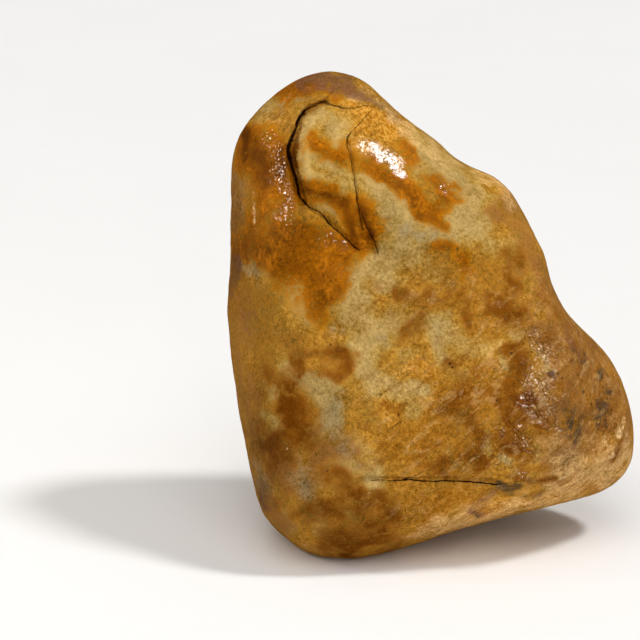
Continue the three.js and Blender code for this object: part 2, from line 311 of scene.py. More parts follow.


# The stains, with painted light and shade among them, each a list of (path in pixels, radius in pixels,
# strength).
STAINS = {
    "amber": [  # deep orange-brown, left of the cleft, round the block and across the face
        ([(312, 204), (328, 212), (338, 222)], 9, 0.22), ([(244, 131), (247, 142), (246, 154)], 5, 1.0),
        ([(258, 156), (266, 170), (270, 182)], 9, 1.0), ([(282, 146), (284, 160), (286, 176)], 6, 0.95),
        ([(318, 142), (326, 152), (342, 150)], 5.5, 0.8),
        ([(302, 188), (318, 190), (334, 188)], 3.8, 1.0),
        ([(346, 198), (353, 206), (355, 220), (355, 234)], 6, 1.0),
        ([(362, 206), (368, 218), (372, 232)], 5, 0.95), ([(306, 198), (318, 198), (332, 199)], 3.6, 0.8),
        ([(372, 168), (380, 176), (392, 182)], 4, 0.9), ([(396, 177), (406, 184), (411, 190)], 5, 1.0),
        ([(404, 148), (409, 154)], 4, 0.7), ([(412, 196), (418, 208), (424, 216), (434, 216)], 5, 1.0),
        ([(436, 205), (446, 200), (442, 190)], 4.5, 0.8), ([(436, 244), (446, 248)], 5, 0.7),
        ([(284, 90), (294, 86), (306, 84)], 5, 0.7), ([(326, 88), (334, 90), (342, 94)], 4, 0.6),
        ([(300, 252), (316, 256), (334, 250)], 8, 1.0), ([(252, 228), (248, 240), (244, 256)], 5, 0.8),
        ([(322, 276), (330, 284), (334, 294)], 6, 0.8), ([(247, 146), (262, 158), (273, 176)], 15, 1.0),
        ([(243, 134), (247, 150), (248, 168)], 6, 1.0), ([(280, 150), (284, 172), (288, 196)], 9, 0.8),
        ([(258, 204), (262, 222), (254, 238)], 15, 0.5),
        ([(280, 222), (296, 240), (316, 242), (336, 252)], 17, 0.95),
        ([(246, 240), (262, 250), (285, 258)], 10, 1.0),
        ([(284, 262), (305, 264), (322, 260), (334, 252)], 11, 1.0), ([(282, 276), (290, 283)], 8, 0.9),
        ([(314, 272), (320, 288), (315, 302)], 13, 0.9), ([(318, 310), (322, 322)], 6, 0.45),
        ([(318, 148), (330, 152), (345, 157)], 8, 0.5), ([(304, 191), (322, 193), (342, 198)], 5, 0.85),
        ([(348, 206), (353, 222), (360, 243)], 6.5, 0.95), ([(366, 214), (372, 226)], 7, 0.9),
        ([(352, 161), (368, 163), (380, 173)], 7, 0.6), ([(386, 173), (402, 178), (412, 187)], 8, 0.9),
        ([(397, 148), (408, 152), (412, 162)], 7, 0.45),
        ([(404, 192), (414, 202), (424, 212), (437, 215)], 7, 0.85),
        ([(440, 208), (452, 198), (436, 179)], 7, 0.72), ([(430, 247), (441, 245), (450, 250)], 7, 0.55),
        ([(463, 262), (465, 274)], 7, 0.6), ([(282, 132), (268, 134), (258, 132)], 9, 0.25),
        ([(284, 92), (300, 86), (316, 88)], 7, 0.65),
    ],
    "pale_sand_and_highlight": [  # light sand, and a painted highlight along the block's rounded left edge
        ([(330, 270), (342, 274)], 7, 0.4), ([(500, 342), (508, 352)], 8, 0.5),
        ([(428, 272), (438, 276)], 8, 0.4), ([(446, 368), (462, 372)], 9, 0.4),
        ([(334, 464), (344, 470)], 8, 0.4), ([(448, 336), (468, 344), (488, 348)], 9, 0.45),
        ([(418, 146), (436, 158), (450, 170)], 8, 0.6), ([(400, 400), (412, 414)], 7, 0.5),
        ([(330, 272), (338, 280)], 6, 0.6),
        # A painted highlight along the block's rounded left edge.
        ([(319, 112), (309, 124), (305.5, 140), (305, 158), (308, 176)], 3.4, 0.8),
        ([(306, 124), (305, 140), (308, 156)], 5, 0.8), ([(330, 122), (340, 132), (336, 140)], 4, 0.7),
        ([(320, 204), (330, 208), (339, 216)], 6.5, 0.95), ([(326, 162), (340, 168), (346, 178)], 5, 0.7),
        ([(362, 176), (372, 186), (380, 198)], 6, 0.7), ([(390, 206), (402, 214), (414, 218)], 7, 0.8),
        ([(420, 158), (434, 168), (446, 176)], 7, 0.6), ([(458, 186), (466, 200), (462, 212)], 8, 0.7),
        ([(412, 386), (418, 392), (426, 390)], 3.8, 1.0), ([(503, 361), (505, 367)], 2.4, 1.0),
        ([(501, 456), (508, 462), (511, 458)], 3, 1.0), ([(432, 340), (440, 348), (436, 330)], 6, 0.8),
        ([(538, 350), (543, 364), (548, 372)], 4, 0.9), ([(540, 380), (552, 386), (548, 396)], 5, 0.6),
        ([(540, 400), (546, 412), (554, 416)], 4.5, 0.7), ([(484, 436), (488, 446)], 4, 0.8),
        ([(536, 452), (546, 458), (556, 452)], 6, 0.6), ([(595, 466), (602, 462)], 3.4, 1.0),
        ([(292, 286), (298, 294), (302, 304)], 5, 0.8), ([(278, 386), (276, 394)], 4.5, 0.8),
        ([(306, 380), (314, 388)], 5, 0.9), ([(352, 288), (358, 276), (368, 268)], 8, 0.7),
        ([(374, 372), (366, 362)], 5, 0.8), ([(388, 270), (392, 286)], 6, 0.6),
        ([(404, 352), (412, 346)], 5, 0.5), ([(312, 116), (303, 132), (301, 152), (305, 178)], 9, 0.6),
        ([(322, 165), (338, 172), (344, 184), (322, 180)], 10, 0.45),
        ([(326, 113), (340, 117), (332, 130)], 11, 0.45),
        ([(372, 180), (388, 194), (404, 208)], 12, 0.75),
        ([(404, 222), (412, 236), (432, 231), (450, 230), (468, 230)], 12, 0.85),
        ([(396, 246), (410, 254)], 12, 0.6),
        ([(424, 148), (440, 164), (468, 182), (474, 204), (470, 224)], 17, 0.72),
        ([(352, 270), (374, 262), (384, 268)], 15, 0.78), ([(348, 286), (356, 298)], 13, 0.8),
        ([(296, 288), (302, 298), (308, 318)], 9, 0.78), ([(272, 276), (266, 268)], 6, 0.7),
        ([(350, 312), (368, 326), (384, 330), (400, 318)], 12, 0.7),
        ([(374, 336), (366, 352), (368, 372), (372, 386)], 10, 0.85),
        ([(330, 386), (318, 392), (328, 402), (330, 418), (312, 430)], 10, 0.75),
        ([(300, 378), (316, 386)], 8, 0.9), ([(340, 446), (362, 452), (372, 466), (346, 466)], 11, 0.45),
        ([(372, 476), (374, 490)], 8, 0.8), ([(292, 458), (306, 474), (300, 488), (318, 484)], 12, 0.3),
        ([(282, 520), (286, 530)], 7, 0.62), ([(318, 512), (322, 526)], 7, 0.55),
        ([(348, 514), (352, 520)], 5, 0.6), ([(436, 322), (440, 342)], 11, 0.7),
        ([(414, 386), (423, 394)], 6, 0.9), ([(400, 388), (388, 380)], 8, 0.6),
        ([(505, 362), (506, 368)], 3, 0.8), ([(512, 328), (520, 334)], 6, 0.6),
        ([(274, 384), (276, 394)], 6, 0.75), ([(286, 362), (290, 371)], 6, 0.75),
        ([(270, 412), (276, 424)], 6, 0.6), ([(492, 250), (512, 246)], 9, 0.35),
        ([(270, 104), (262, 116), (256, 124)], 8, 0.62), ([(612, 462), (628, 452)], 6, 0.6),
        ([(596, 466), (604, 458)], 4, 0.8), ([(566, 474), (590, 470)], 6, 0.55),
    ],
    "grey": [  # greyish sand
        ([(336, 392), (332, 408), (330, 426)], 9, 0.6), ([(340, 445), (352, 462)], 8, 0.5),
        ([(252, 186), (254, 200)], 5, 0.6), ([(288, 97), (283, 102)], 3, 0.8),
        ([(298, 98), (304, 96)], 2.6, 0.8), ([(404, 232), (420, 236), (434, 230)], 5, 0.7),
        ([(256, 484), (261, 504)], 4, 0.9), ([(264, 520), (270, 528)], 4, 0.7),
        ([(242, 250), (252, 262), (250, 272)], 9, 0.95), ([(240, 182), (242, 206)], 6, 0.7),
        ([(408, 236), (430, 234)], 9, 0.6), ([(340, 326), (338, 334)], 6, 0.6),
        ([(378, 338), (384, 342)], 5, 0.7), ([(258, 470), (262, 490)], 8, 0.7),
        ([(296, 470), (306, 484)], 14, 0.8), ([(318, 428), (326, 414)], 8, 0.5),
        ([(304, 302), (300, 310)], 6, 0.6), ([(437, 330), (436, 344)], 8, 0.45),
        ([(288, 128), (290, 134)], 4, 0.7), ([(282, 98), (284, 106)], 5, 0.6),
        ([(304, 97), (308, 100)], 4, 0.7),
    ],
    "slate": [  # dark grey spots
        ([(576, 420), (575, 430)], 2.4, 1.2), ([(573, 416), (577, 424), (574, 434)], 5, 1.4),
        ([(562, 424), (566, 434)], 2.6, 0.7), ([(597, 402), (603, 412), (600, 424)], 5, 0.8),
        ([(598, 418), (606, 424)], 3, 0.7), ([(612, 388), (608, 396)], 3, 0.6),
        ([(584, 352), (583, 362)], 2.6, 0.6), ([(574, 346), (576, 352)], 2.6, 0.6),
        ([(601, 372), (600, 380)], 2.6, 0.8), ([(551, 372), (557, 374)], 2.6, 0.8),
        ([(500, 484), (508, 488), (517, 487)], 3.8, 0.95), ([(504, 492), (512, 495)], 2.6, 0.6),
        ([(521, 496), (533, 497), (542, 494)], 2, 0.6), ([(475, 513), (478, 516)], 2.6, 0.9),
        ([(446, 361), (448, 366)], 2.6, 0.5),
    ],
    "rust": [  # rust-brown patches
        ([(299, 360), (308, 372)], 5, 0.6), ([(304, 510), (330, 518), (360, 512)], 9, 0.6),
        ([(276, 438), (292, 446), (290, 462)], 9, 0.7), ([(284, 340), (304, 346)], 8, 0.5),
        ([(268, 470), (284, 486), (280, 506)], 9, 0.45), ([(308, 109), (318, 104), (328, 98)], 3.2, 0.9),
        ([(363, 226), (367, 236), (371, 243)], 3.8, 0.95), ([(348, 252), (362, 252)], 3.5, 0.5),
        ([(509, 349), (517, 345), (523, 341)], 4.5, 0.7), ([(513, 362), (521, 366)], 4.5, 1.0),
        ([(512, 377), (516, 374)], 4.5, 0.9), ([(454, 397), (462, 390), (470, 385)], 6, 1.0),
        ([(438, 406), (448, 405), (458, 412), (466, 417)], 5, 0.8),
        ([(503, 392), (510, 404), (508, 420)], 8, 0.9), ([(520, 398), (528, 392), (532, 408)], 6, 1.0),
        ([(510, 421), (522, 419)], 3.8, 0.95), ([(500, 443), (510, 446), (520, 448)], 5, 1.0),
        ([(518, 454), (522, 460)], 4, 1.0), ([(540, 420), (533, 425)], 4, 0.9),
        ([(476, 430), (479, 437)], 3.8, 0.7), ([(461, 455), (470, 458), (480, 455)], 3.6, 0.9),
        ([(484, 458), (488, 465), (478, 470)], 3, 0.8), ([(424, 448), (433, 446), (440, 444)], 2.6, 0.8),
        ([(418, 456), (430, 455)], 2.2, 0.7), ([(441, 462), (444, 474), (446, 478)], 3.4, 0.9),
        ([(506, 476), (516, 478), (530, 480), (556, 478)], 2.6, 0.8), ([(480, 370), (470, 374)], 4, 0.7),
        ([(404, 332), (410, 322), (421, 316)], 3.6, 0.7), ([(396, 296), (404, 292), (412, 300)], 4, 0.6),
        ([(446, 356), (452, 364)], 4, 0.9), ([(488, 296), (496, 306), (490, 312)], 4, 0.8),
        ([(468, 300), (464, 314), (468, 326)], 3.4, 0.8), ([(452, 292), (440, 296), (430, 290)], 4, 0.6),
        ([(512, 262), (508, 276), (510, 292)], 6, 0.9), ([(504, 312), (514, 318)], 6, 0.7),
        ([(620, 441), (618, 450), (612, 460)], 2.6, 1.0), ([(298, 358), (303, 366), (300, 374)], 4, 1.0),
        ([(334, 353), (342, 351), (347, 356)], 3, 0.9), ([(284, 388), (288, 404), (290, 420)], 7, 1.0),
        ([(352, 494), (362, 500), (374, 504)], 5, 1.0), ([(326, 505), (334, 512)], 5, 0.9),
        ([(350, 540), (370, 543), (386, 536)], 8, 0.9), ([(372, 524), (388, 518), (394, 510)], 6, 0.8),
        ([(254, 486), (259, 500)], 4, 0.9), ([(300, 371), (296, 361), (304, 353), (318, 352)], 5, 0.95),
        ([(328, 354), (340, 352), (347, 357)], 5.4, 0.9),
        ([(348, 364), (342, 372), (332, 377), (320, 374)], 4.4, 0.8), ([(322, 364), (334, 363)], 6, 0.4),
        ([(284, 381), (290, 394), (292, 408), (296, 424), (302, 438)], 10, 1.0),
        ([(268, 370), (280, 380)], 5, 0.8), ([(306, 404), (314, 414), (310, 440)], 8, 0.6),
        ([(270, 432), (288, 434), (270, 444), (272, 462)], 7, 0.8), ([(280, 448), (284, 456)], 6, 0.6),
        ([(348, 481), (356, 488), (362, 500), (380, 503)], 7, 0.95),
        ([(326, 503), (336, 512), (346, 526)], 6, 0.85), ([(330, 468), (338, 480), (342, 500)], 6, 0.7),
        ([(300, 504), (302, 512)], 6, 0.6), ([(330, 544), (356, 546), (392, 540)], 10, 0.85),
        ([(352, 532), (380, 520), (392, 512)], 10, 0.6), ([(516, 258), (513, 274), (510, 296)], 8, 0.85),
        ([(510, 318), (519, 310)], 7, 0.6), ([(490, 304), (494, 308)], 5, 0.7),
        ([(463, 264), (466, 278)], 7, 0.6), ([(512, 350), (522, 346)], 5, 0.4),
        ([(520, 358), (520, 370), (513, 380)], 7, 0.85),
        ([(500, 398), (516, 396), (528, 410), (516, 420)], 12, 0.9),
        ([(500, 442), (518, 446), (524, 457)], 7, 0.95), ([(534, 424), (548, 430)], 7, 0.6),
        ([(455, 394), (448, 408), (466, 406), (480, 388)], 10, 0.7),
        ([(470, 424), (480, 436), (476, 446)], 8, 0.6), ([(448, 362), (450, 368)], 4, 0.85),
        ([(440, 468), (452, 458), (470, 456), (484, 462)], 6, 0.75), ([(418, 470), (430, 464)], 5, 0.55),
        ([(424, 288), (428, 296)], 7, 0.6), ([(400, 302), (410, 298)], 7, 0.5),
        ([(424, 322), (406, 330), (398, 338)], 6, 0.55), ([(466, 308), (470, 320)], 5, 0.6),
        ([(376, 462), (382, 462)], 2.5, 0.9), ([(312, 438), (313, 448)], 4, 0.8),
        ([(554, 312), (560, 316)], 5, 0.8), ([(250, 236), (247, 246)], 5, 0.7),
    ],
    "brown": [  # the dull brown of the cheek and the flanks
        ([(284, 466), (300, 480), (318, 470), (330, 452)], 15, 0.75), ([(346, 450), (362, 462)], 10, 0.4),
        ([(238, 180), (236, 210), (238, 240)], 9, 0.8),
        ([(564, 330), (584, 354), (600, 392), (600, 420), (584, 450)], 30, 0.95),
        ([(560, 392), (566, 440), (572, 466)], 16, 0.9),
        ([(506, 204), (522, 236), (538, 264), (546, 290)], 11, 0.5), ([(498, 210), (500, 222)], 8, 0.55),
        ([(240, 300), (240, 350), (248, 400), (252, 440)], 12, 0.45),
        ([(258, 470), (264, 500), (284, 528)], 8, 0.6), ([(620, 440), (612, 458)], 5, 0.8),
        ([(476, 512), (484, 504)], 5, 0.95), ([(380, 108), (400, 120)], 4, 0.4),
        ([(350, 154), (345, 150)], 4, 0.4),
    ],
    "plum_and_sheen": [  # purplish marks, and along the top and the left edge a painted sheen where the surface turns away
        ([(472, 512), (480, 514)], 3.4, 1.0), ([(482, 500), (489, 495), (496, 491)], 2.6, 0.8),
        ([(548, 372), (556, 376)], 2.6, 0.9), ([(564, 336), (574, 346), (584, 360)], 8, 0.4),
        ([(355, 92), (368, 97)], 3.4, 0.8), ([(302, 79), (324, 76), (344, 82)], 8, 0.95),
        ([(340, 88), (352, 93), (366, 99), (382, 107)], 3, 0.55), ([(236, 260), (234, 290)], 5, 0.6),
        ([(262, 488), (268, 506)], 5, 0.6), ([(252, 330), (246, 316)], 7, 0.4),
        ([(570, 440), (574, 446)], 4, 0.5),
    ],
    "wet": [  # damp stone that shines a little
        ([(350, 142), (368, 148), (388, 160), (408, 171)], 13, 1.0), ([(444, 184), (450, 194)], 9, 0.8),
        ([(272, 140), (281, 160), (285, 188), (288, 210)], 13, 0.95),
        ([(254, 180), (255, 215), (256, 235)], 4, 0.6), ([(300, 222), (328, 236), (330, 252)], 16, 0.8),
        ([(250, 150), (262, 200), (276, 250)], 22, 0.6),
        ([(540, 340), (540, 372), (544, 400), (550, 418)], 11, 0.95),
        ([(500, 430), (522, 434), (532, 448), (508, 462), (521, 474)], 8, 0.9),
        ([(520, 400), (512, 420)], 14, 0.7), ([(565, 420), (560, 442)], 5, 0.6),
        ([(316, 272), (322, 300)], 12, 0.55), ([(596, 462), (606, 456)], 5, 0.6),
        ([(320, 80), (350, 86)], 14, 0.5), ([(390, 180), (430, 210)], 14, 0.55),
    ],
    "deep_amber_and_shade": [  # the darkest amber, and painted shade down the cleft's wall, under the block and beside the pocket
        ([(304, 113), (300.5, 122), (297.5, 132), (295.5, 144), (295, 156), (296, 168), (299.5, 182)],
         3, 0.9),
        ([(244, 131), (247, 142), (246, 154)], 4.5, 1.0), ([(258, 156), (264, 168), (268, 180)], 8, 0.85),
        ([(281, 148), (284, 160), (286, 176)], 4.5, 0.7),
        ([(303, 190), (318, 195), (334, 196), (346, 199)], 3.8, 0.9),
        ([(346, 202), (352, 214), (353, 230)], 5, 0.7), ([(364, 206), (367, 216), (370, 230)], 4.4, 0.8),
        ([(292, 244), (304, 242), (312, 236)], 9, 0.45), ([(284, 262), (292, 272), (300, 266)], 6, 0.5),
        ([(250, 242), (248, 252)], 4.5, 0.6), ([(332, 240), (344, 246)], 5, 0.5),
        ([(314, 268), (320, 278)], 5, 0.4), ([(400, 182), (408, 187)], 4.5, 0.6),
        ([(422, 214), (434, 217)], 4, 0.5), ([(320, 154), (328, 156)], 4, 0.4),
        ([(440, 247), (447, 249)], 3.6, 0.5), ([(286, 390), (290, 404), (290, 420), (298, 434)], 7, 0.8),
        ([(268, 436), (272, 448)], 5, 0.5), ([(300, 358), (303, 366), (301, 374)], 3.6, 0.5),
        ([(334, 350), (344, 350)], 3.8, 0.35), ([(355, 496), (366, 502)], 4.5, 0.6),
        ([(328, 506), (336, 514)], 4.5, 0.5), ([(342, 545), (364, 544), (384, 538)], 7, 0.7),
        ([(376, 524), (390, 514)], 5, 0.5), ([(512, 270), (509, 288)], 5, 0.4),
        ([(506, 314), (514, 318)], 5, 0.6), ([(510, 349), (518, 345)], 4, 0.5),
        ([(515, 364), (521, 366)], 4, 0.8), ([(456, 396), (464, 389)], 5, 0.6),
        ([(444, 406), (452, 408)], 4, 0.4), ([(504, 394), (512, 404), (510, 416)], 7, 0.5),
        ([(521, 399), (527, 394), (530, 406)], 5, 0.9), ([(500, 443), (510, 446), (520, 448)], 4, 1.0),
        ([(518, 454), (522, 460)], 3.8, 1.0), ([(511, 421), (522, 419)], 3.6, 0.8),
        ([(475, 513), (481, 510)], 3, 0.8), ([(619, 443), (616, 452)], 2.4, 0.8),
        ([(252, 490), (258, 504)], 5, 0.5),
    ],
    "gloss": [  # pools of water that shine
        ([(352, 143), (360, 146), (370, 151)], 6, 0.75),
        ([(370, 151), (382, 155), (394, 161), (403, 167)], 4.8, 1.6),
        ([(443, 183), (449, 186), (448, 194)], 5, 0.45), ([(268, 140), (276, 152), (283, 164)], 7, 0.7),
        ([(282, 172), (285, 190), (288, 212)], 7, 1.0), ([(276, 216), (292, 218)], 5, 0.6),
        ([(326, 233), (332, 236)], 4, 1.0), ([(284, 232), (290, 236)], 3.4, 0.6),
        ([(316, 244), (344, 246)], 6, 0.5), ([(536, 334), (543, 352), (545, 366)], 7, 0.9),
        ([(530, 374), (542, 380), (536, 398), (544, 414)], 10, 1.0), ([(498, 430), (502, 436)], 4, 1.0),
        ([(521, 430), (526, 446), (532, 452)], 5, 0.9), ([(503, 458), (512, 466)], 5, 0.8),
        ([(520, 470), (524, 476)], 4, 0.9), ([(562, 424), (558, 440)], 4, 0.5),
        ([(598, 464), (606, 460)], 4, 0.6), ([(480, 438), (486, 444)], 4, 0.4),
    ],
    "ochre": [  # dull yellow-brown
        ([(448, 226), (480, 226)], 11, 0.5), ([(354, 296), (364, 304)], 9, 0.4),
        ([(396, 254), (440, 262), (490, 268)], 14, 0.5), ([(372, 224), (384, 240)], 9, 0.5),
        ([(430, 300), (470, 300), (490, 330)], 20, 0.5), ([(450, 385), (440, 430), (400, 440)], 26, 0.6),
        ([(480, 400), (500, 440), (470, 470)], 24, 0.7), ([(400, 505), (440, 510), (380, 525)], 18, 0.6),
        ([(330, 530), (360, 540)], 20, 0.7), ([(500, 290), (512, 320), (508, 360)], 14, 0.6),
        ([(290, 400), (286, 440)], 22, 0.6), ([(232, 170), (232, 230), (236, 300)], 12, 0.8),
        ([(262, 300), (262, 360), (270, 440)], 16, 0.6), ([(280, 470), (310, 490), (330, 440)], 20, 0.6),
    ],
    "gritty": [  # where the grain is coarse and streaked
        ([(392, 290), (440, 300), (490, 310)], 26, 0.7), ([(400, 400), (440, 400), (490, 380)], 34, 1.0),
        ([(400, 450), (450, 460), (500, 450)], 26, 1.0), ([(540, 330), (590, 380), (600, 430)], 34, 0.9),
        ([(470, 500), (540, 492), (590, 480)], 10, 0.8), ([(380, 500), (440, 510)], 14, 0.6),
        ([(500, 360), (520, 400), (520, 450)], 16, 0.8), ([(300, 95), (270, 110), (256, 124)], 12, 0.5),
        ([(320, 120), (360, 120), (400, 140)], 14, 0.15),
    ],
    "tan_and_bounce_light": [  # light tan, and along the bottom band painted light thrown up from the floor
        ([(540, 440), (560, 440), (582, 442), (604, 446)], 8, 0.35),
        ([(562, 472), (580, 468), (596, 472)], 4, 0.9), ([(356, 554), (330, 554), (306, 546)], 4, 0.4),
        # Along the bottom band the tan is painted light thrown up from the floor.
        ([(560, 484), (585, 472), (606, 464), (620, 452)], 9, 0.95),
        ([(600, 480), (616, 470), (628, 452)], 7, 0.9), ([(505, 512), (540, 502), (575, 492)], 6, 0.7),
        ([(440, 526), (470, 518), (504, 510)], 7, 0.8), ([(404, 538), (424, 532)], 5, 0.6),
        ([(362, 92), (376, 100), (392, 112)], 6, 0.7), ([(404, 134), (420, 146), (436, 154)], 6, 0.6),
        ([(486, 168), (502, 186), (512, 204)], 6, 0.7), ([(400, 118), (412, 128)], 5, 0.6),
        ([(252, 128), (264, 120), (276, 118)], 6, 0.5),
        ([(432, 134), (452, 146), (480, 166), (496, 180)], 7, 0.6), ([(616, 420), (624, 436)], 5, 0.5),
        ([(556, 450), (572, 462)], 9, 0.45),
    ],
    "glow": [  # bright orange and light gold
        ([(256, 196), (270, 204), (284, 198)], 6, 0.7), ([(360, 112), (376, 116), (392, 128)], 8, 0.6),
        ([(262, 124), (272, 130), (284, 124)], 6, 1.0), ([(322, 118), (336, 112), (346, 122)], 6, 0.7),
        ([(356, 122), (370, 132), (380, 140)], 7, 0.8), ([(320, 206), (330, 212), (336, 208)], 5, 0.8),
        ([(252, 210), (262, 206)], 5, 0.7), ([(416, 380), (426, 370), (440, 366)], 6, 0.7),
        ([(398, 384), (392, 398)], 6, 0.6), ([(472, 346), (484, 340), (492, 350)], 7, 0.3),
        ([(446, 436), (456, 442)], 6, 0.6), ([(556, 394), (564, 400), (562, 408)], 4, 0.6),
        ([(590, 396), (600, 396)], 5, 0.5), ([(352, 118), (372, 126), (388, 138)], 12, 0.7),
        ([(400, 280), (380, 292), (372, 310)], 10, 0.55),
        ([(420, 360), (400, 370), (412, 380)], 12, 0.65), ([(392, 400), (402, 398), (388, 412)], 9, 0.65),
        ([(440, 380), (476, 350), (500, 330)], 16, 0.3),
        ([(470, 262), (490, 240), (520, 262), (538, 272)], 12, 0.5),
        ([(420, 426), (432, 440), (440, 454), (428, 402)], 12, 0.6),
        ([(410, 500), (440, 508), (470, 492)], 14, 0.75), ([(430, 524), (410, 530)], 8, 0.6),
        ([(452, 218), (438, 190), (420, 172)], 9, 0.6), ([(270, 128), (284, 122)], 8, 0.7),
        ([(330, 205), (322, 210)], 8, 0.6), ([(560, 478), (590, 474), (616, 466), (628, 456)], 9, 0.7),
        ([(464, 300), (496, 310), (486, 296)], 10, 0.5),
    ],
    "wrinkled": [  # wrinkles under the water
        ([(536, 336), (542, 352), (544, 372), (540, 390), (546, 410), (552, 424)], 10, 0.9),
        ([(498, 428), (512, 430), (526, 438), (532, 450)], 7, 0.8),
        ([(500, 458), (512, 466), (524, 474)], 7, 0.7), ([(480, 430), (488, 444), (492, 456)], 7, 0.5),
        ([(576, 346), (590, 366), (600, 390)], 14, 0.35),
    ],
    "beaded": [  # water in small beads
        ([(268, 140), (276, 158), (283, 184), (288, 212), (296, 218)], 9, 0.7),
        ([(318, 234), (334, 240)], 7, 0.6), ([(256, 150), (262, 200)], 10, 0.3),
        ([(498, 430), (506, 434)], 6, 0.8), ([(518, 430), (526, 446), (534, 452)], 7, 0.8),
        ([(503, 458), (514, 466), (524, 476)], 7, 0.8),
        ([(536, 340), (544, 372), (538, 396), (548, 420)], 10, 0.22), ([(444, 184), (450, 194)], 6, 0.3),
    ],
    "painted_shade": [  # painted shade and darker tone: darker than its own colour, as under the block and along the bottom
        ([(231, 262), (233, 280)], 8, 0.4), ([(254, 244), (280, 246)], 9, 0.4),
        ([(424, 244), (440, 256)], 9, 0.4), ([(340, 536), (372, 532)], 10, 0.6),
        ([(392, 514), (420, 512)], 9, 0.5), ([(540, 486), (560, 480)], 6, 0.5),
        ([(562, 456), (576, 462)], 7, 0.6), ([(568, 410), (578, 420)], 7, 0.7),
        ([(326, 300), (340, 318), (352, 330)], 10, 0.35), ([(400, 290), (424, 312), (436, 318)], 10, 0.4),
        ([(292, 330), (302, 344)], 9, 0.35), ([(312, 388), (330, 400), (336, 420), (332, 440)], 12, 0.6),
        ([(262, 395), (266, 420)], 9, 0.45), ([(262, 440), (276, 452), (270, 486)], 14, 0.7),
        ([(304, 436), (312, 462), (306, 486)], 11, 0.55),
        ([(310, 508), (336, 512), (358, 512)], 12, 0.65), ([(380, 222), (388, 238), (408, 262)], 10, 0.6),
        ([(432, 250), (452, 268), (476, 262)], 10, 0.5), ([(450, 412), (462, 420)], 9, 0.7),
        ([(478, 440), (470, 462), (450, 464)], 9, 0.5), ([(598, 414), (604, 424)], 9, 0.5),
        ([(498, 368), (508, 372)], 7, 0.4), ([(326, 196), (336, 204), (330, 226)], 7, 0.5),
        ([(304, 226), (312, 240)], 8, 0.5), ([(232, 200), (234, 240), (236, 262)], 8, 0.5),
    ],
    "painted_light": [  # painted light and lighter tone: lighter than its own colour, as a highlight on the block's rounded edge and light on the bottom band
        ([(262, 150), (266, 164)], 9, 0.3), ([(262, 218), (268, 234)], 9, 0.3),
        ([(282, 100), (294, 108)], 9, 0.4), ([(316, 122), (318, 134)], 7, 0.4),
        ([(500, 340), (494, 354)], 9, 0.4), ([(524, 224), (530, 236)], 7, 0.4),
        ([(596, 440), (590, 456)], 9, 0.3), ([(318, 362), (340, 366)], 9, 0.4),
        ([(300, 292), (300, 312)], 9, 0.4), ([(330, 374), (340, 378)], 7, 0.4),
        ([(502, 340), (496, 350)], 8, 0.4), ([(524, 460), (548, 462)], 9, 0.4),
        ([(308, 124), (300, 138)], 7, 0.5), ([(352, 146), (364, 152)], 6, 0.6),
        ([(352, 172), (366, 180), (356, 196)], 8, 0.4), ([(470, 508), (500, 506)], 7, 0.5),
        ([(326, 262), (336, 272)], 7, 0.5), ([(400, 156), (412, 176), (404, 196)], 8, 0.4),
        ([(330, 100), (344, 106), (360, 112)], 9, 0.6), ([(262, 124), (270, 132)], 9, 0.8),
        ([(352, 126), (372, 128), (390, 132), (404, 136)], 10, 0.6),
        ([(404, 128), (428, 146), (452, 162)], 7, 0.5), ([(478, 172), (500, 192)], 6, 0.8),
        ([(262, 196), (284, 202), (276, 180)], 10, 0.5), ([(330, 150), (338, 140)], 7, 0.5),
        ([(309, 117), (304, 132), (303, 150), (306, 172)], 5, 0.9),
        ([(568, 342), (592, 356), (606, 372)], 10, 0.5), ([(546, 366), (550, 376)], 8, 0.5),
        ([(590, 484), (560, 490), (520, 498), (480, 512), (450, 520)], 8, 0.4),
    ],
    "edge_highlights": [  # thin light lines on edges and wrinkles: painted highlights where they catch the light
        ([(604, 461), (612, 456), (616, 446), (620, 432), (625, 417)], 1.8, 0.8),
        ([(559, 479), (574, 470), (590, 465)], 1.6, 0.5),
        ([(564, 386), (564.5, 404), (566, 420), (562, 438), (552, 456)], 1.4, 0.5),
        ([(254, 182), (254, 206), (256, 236)], 1.8, 0.6), ([(540, 386), (550, 380)], 2, 0.7),
        ([(544, 356), (550, 366)], 2, 0.6), ([(282, 442), (287, 449)], 1.6, 0.5),
    ],
}
STAIN_EDGE = 1.35  # how far a stain's soft edge reaches, as a share of its radius
THIN_STAIN = 4  # a stain of a smaller radius, in pixels, stays exactly on its path
STAIN_DRIFT = 8  # how far, in pixels, broad noise moves a stain
EDGE_DRIFT = 6  # how far, in pixels, narrower noise moves it
STAIN_WANDER = 0.5  # how far the noise moves a stain's edge, as a share of its radius


def set_values(piece, name, values):
    attribute = piece.data.attributes.new(name, "FLOAT", "POINT")
    attribute.data.foreach_set("value", values.astype(np.float32))


def paint_stains(piece):
    points = places(piece)
    facing = towards_viewer(piece)
    pixels = project(points)
    broad = [noise_at(points, 26 * MM, seed) for seed in (11, 12)]
    narrow = [noise_at(points, 10 * MM, seed) for seed in (13, 14)]
    drifted = pixels + STAIN_DRIFT * np.stack(broad, axis=1) + EDGE_DRIFT * np.stack(narrow, axis=1)
    wander = noise_at(points, 17 * MM, 2) + 0.6 * noise_at(points, 7 * MM, 3)
    for name, strokes in STAINS.items():
        bare = np.ones(len(points))
        for path, radius, strength in strokes:
            distance = distance_to(pixels if radius < THIN_STAIN else drifted, path)
            distance = np.maximum(distance + STAIN_WANDER * radius * wander, 0)
            bare *= 1 - strength * np.exp(-((distance / (STAIN_EDGE * radius)) ** 2))
        set_values(piece, name, (1 - bare) * facing)
    set_values(piece, "seen", facing)


